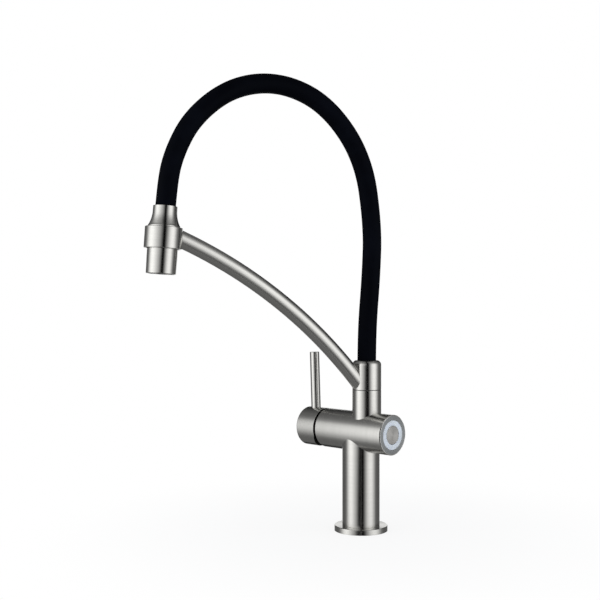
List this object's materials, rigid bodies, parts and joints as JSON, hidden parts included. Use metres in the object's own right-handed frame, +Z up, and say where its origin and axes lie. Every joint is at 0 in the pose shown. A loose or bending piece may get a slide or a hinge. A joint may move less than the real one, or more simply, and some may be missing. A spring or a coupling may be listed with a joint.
{
  "type": "kitchen mixer tap",
  "caption": "Kitchen mixer tap with a cross body, a side pin lever, an illuminated push button and a swivelling hose arch whose spray head docks in a ring on a curved arm.",
  "frame": {"origin": "centre of the base on the worktop plane", "axes": "+Z up, X along the cross body with the push button at +X and the lever at -X, -Y straight ahead over the sink"},
  "size_m": [0.1196, 0.2498, 0.4519],
  "materials": {
    "brushed_nickel": "satin brushed nickel, turned grain",
    "raw_brass": "machined brass",
    "copper_tube": "drawn copper",
    "stainless_small": "bright stainless",
    "satin_trim": "fine satin, greyer than the body",
    "hose_silicone": "matte black silicone",
    "black_seal": "black rubber",
    "black_plastic": "matte black",
    "white_plastic": "matte white",
    "ceramic": "lapped ceramic",
    "spray_face": "matte grey",
    "light_diffuser": "frosted translucent",
    "circuit_board": "solder mask",
    "led_chip": "led lens"
  },
  "bodies": {
    "tap_body": {"base_flange": "brushed_nickel", "base_gasket": "black_seal", "bezel_ring": "satin_trim", "cartridge_base": "white_plastic", "cartridge_housing": "white_plastic", "cold_inlet_tube": "copper_tube", "dust_ring": "black_plastic", "fixed_disc": "ceramic", "hot_inlet_tube": "copper_tube", "housing_gasket": "black_seal", "inlet_block": "raw_brass", "led_board": "circuit_board", "light_ring": "light_diffuser", "mixer_body": "brushed_nickel", "port_seals": "black_seal", "push_switch": "black_plastic", "retaining_nut": "raw_brass", "ring_leds": "led_chip", "signal_cable": "black_seal", "switch_guide": "white_plastic", "switch_housing": "black_plastic", "swivel_seals": "black_seal", "swivel_spigot": "raw_brass", "swivel_washer": "black_plastic", "water_manifold": "raw_brass"},
    "lever": {"lever_stem": "stainless_small", "lever_cap": "brushed_nickel", "lever_rod": "brushed_nickel", "cap_screw": "stainless_small"},
    "valve_disc": {"moving_disc": "ceramic", "disc_carrier": "white_plastic"},
    "rotor": {"cartridge_rotor": "white_plastic", "pivot_pin": "stainless_small"},
    "spout": {"swivel_collar": "brushed_nickel", "swivel_stop_screw": "stainless_small", "hose_root_fitting": "raw_brass", "support_arm": "brushed_nickel", "dock_ring": "brushed_nickel", "dock_liner": "black_plastic", "spout_hose": "hose_silicone"},
    "spray_head": {"spray_neck": "brushed_nickel", "spray_shell": "brushed_nickel", "hose_head_fitting": "raw_brass", "check_valve": "white_plastic", "spray_core": "black_plastic", "aerator_seal": "black_seal", "aerator_cage": "black_plastic", "aerator_disc": "spray_face"},
    "push_button": {"button_disc": "satin_trim", "button_plunger": "white_plastic", "switch_nub": "white_plastic", "button_spring": "stainless_small"}
  },
  "joints": [
    {"name": "temperature_turn", "type": "hinge", "parent": "tap_body", "child": "rotor", "pos_m": [-0.028, 0, 0.1001], "axis": [1, 0, 0], "range_deg": [-45, 45]},
    {"name": "flow_tilt", "type": "hinge", "parent": "rotor", "child": "lever", "pos_m": [-0.028, 0, 0.1001], "axis": [0, -1, 0], "range_deg": [0, 20]},
    {"name": "disc_slide", "type": "slide", "parent": "rotor", "child": "valve_disc", "axis": [0, 0, 1], "range_m": [0, 0.0025]},
    {"name": "spout_swivel", "type": "hinge", "parent": "tap_body", "child": "spout", "pos_m": [0.0078, 0, 0.15], "axis": [0, 0, 1], "range_deg": [-56.7, 93.3]},
    {"name": "spray_lift", "type": "slide", "parent": "spout", "child": "spray_head", "axis": [0.0219, 0.0662, 0.9976], "range_m": [0, 0.05], "deforming": ["spout_hose"]},
    {"name": "button_push", "type": "slide", "parent": "tap_body", "child": "push_button", "axis": [-1, 0, 0], "range_m": [0, 0.001], "stiffness_N_per_m": 900, "springref_m": -0.001, "deforming": ["button_spring"]}
  ],
  "couplings": [
    {"joint": "disc_slide", "follows": "flow_tilt", "m_per_rad": 0.00695}
  ]
}
